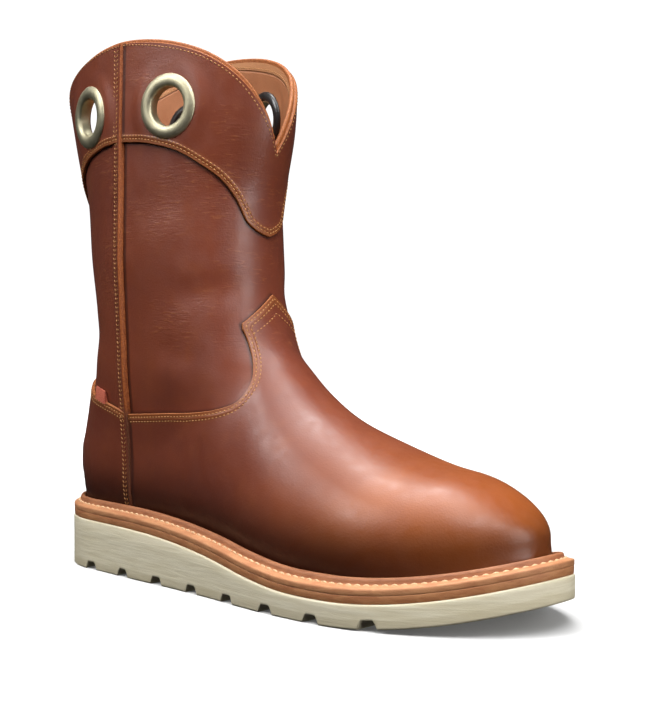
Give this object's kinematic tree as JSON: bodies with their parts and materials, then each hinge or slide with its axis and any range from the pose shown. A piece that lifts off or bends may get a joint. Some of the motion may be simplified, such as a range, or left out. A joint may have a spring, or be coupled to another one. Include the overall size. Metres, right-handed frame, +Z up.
{
  "type": "roper work boot",
  "caption": "Right pull-on roper work boot: brown leather upper with pull holes in the collar, storm welt and cream wedge sole.",
  "frame": {"origin": "on the floor, under the middle of the boot's box", "axes": "+X towards the toe, +Y towards the inner side of this right boot, +Z up"},
  "size_m": [0.3138, 0.1118, 0.2788],
  "materials": {
    "leather": "oiled pull-up, satin",
    "edge_leather": "raw cut edge",
    "lining": "matt lining",
    "welt": "waxed",
    "midsole": "dyed edge",
    "outsole": "matt",
    "grommet": "satin antique",
    "washer": "black",
    "tab": "bare folded strip"
  },
  "bodies": {
    "root": {"outsole": "outsole", "midsole": "midsole", "welt": "welt", "insole": "lining", "upper": "leather", "vamp": "leather", "counter": "leather", "yoke_front": "leather", "yoke_back": "leather", "piping_outer": "edge_leather", "piping_inner": "edge_leather", "tab": "tab", "grommet_outer_front": "grommet", "grommet_outer_rear": "grommet", "grommet_inner_front": "grommet", "grommet_inner_rear": "grommet", "washer_outer_front": "washer", "washer_outer_rear": "washer", "washer_inner_front": "washer", "washer_inner_rear": "washer"}
  },
  "joints": []
}
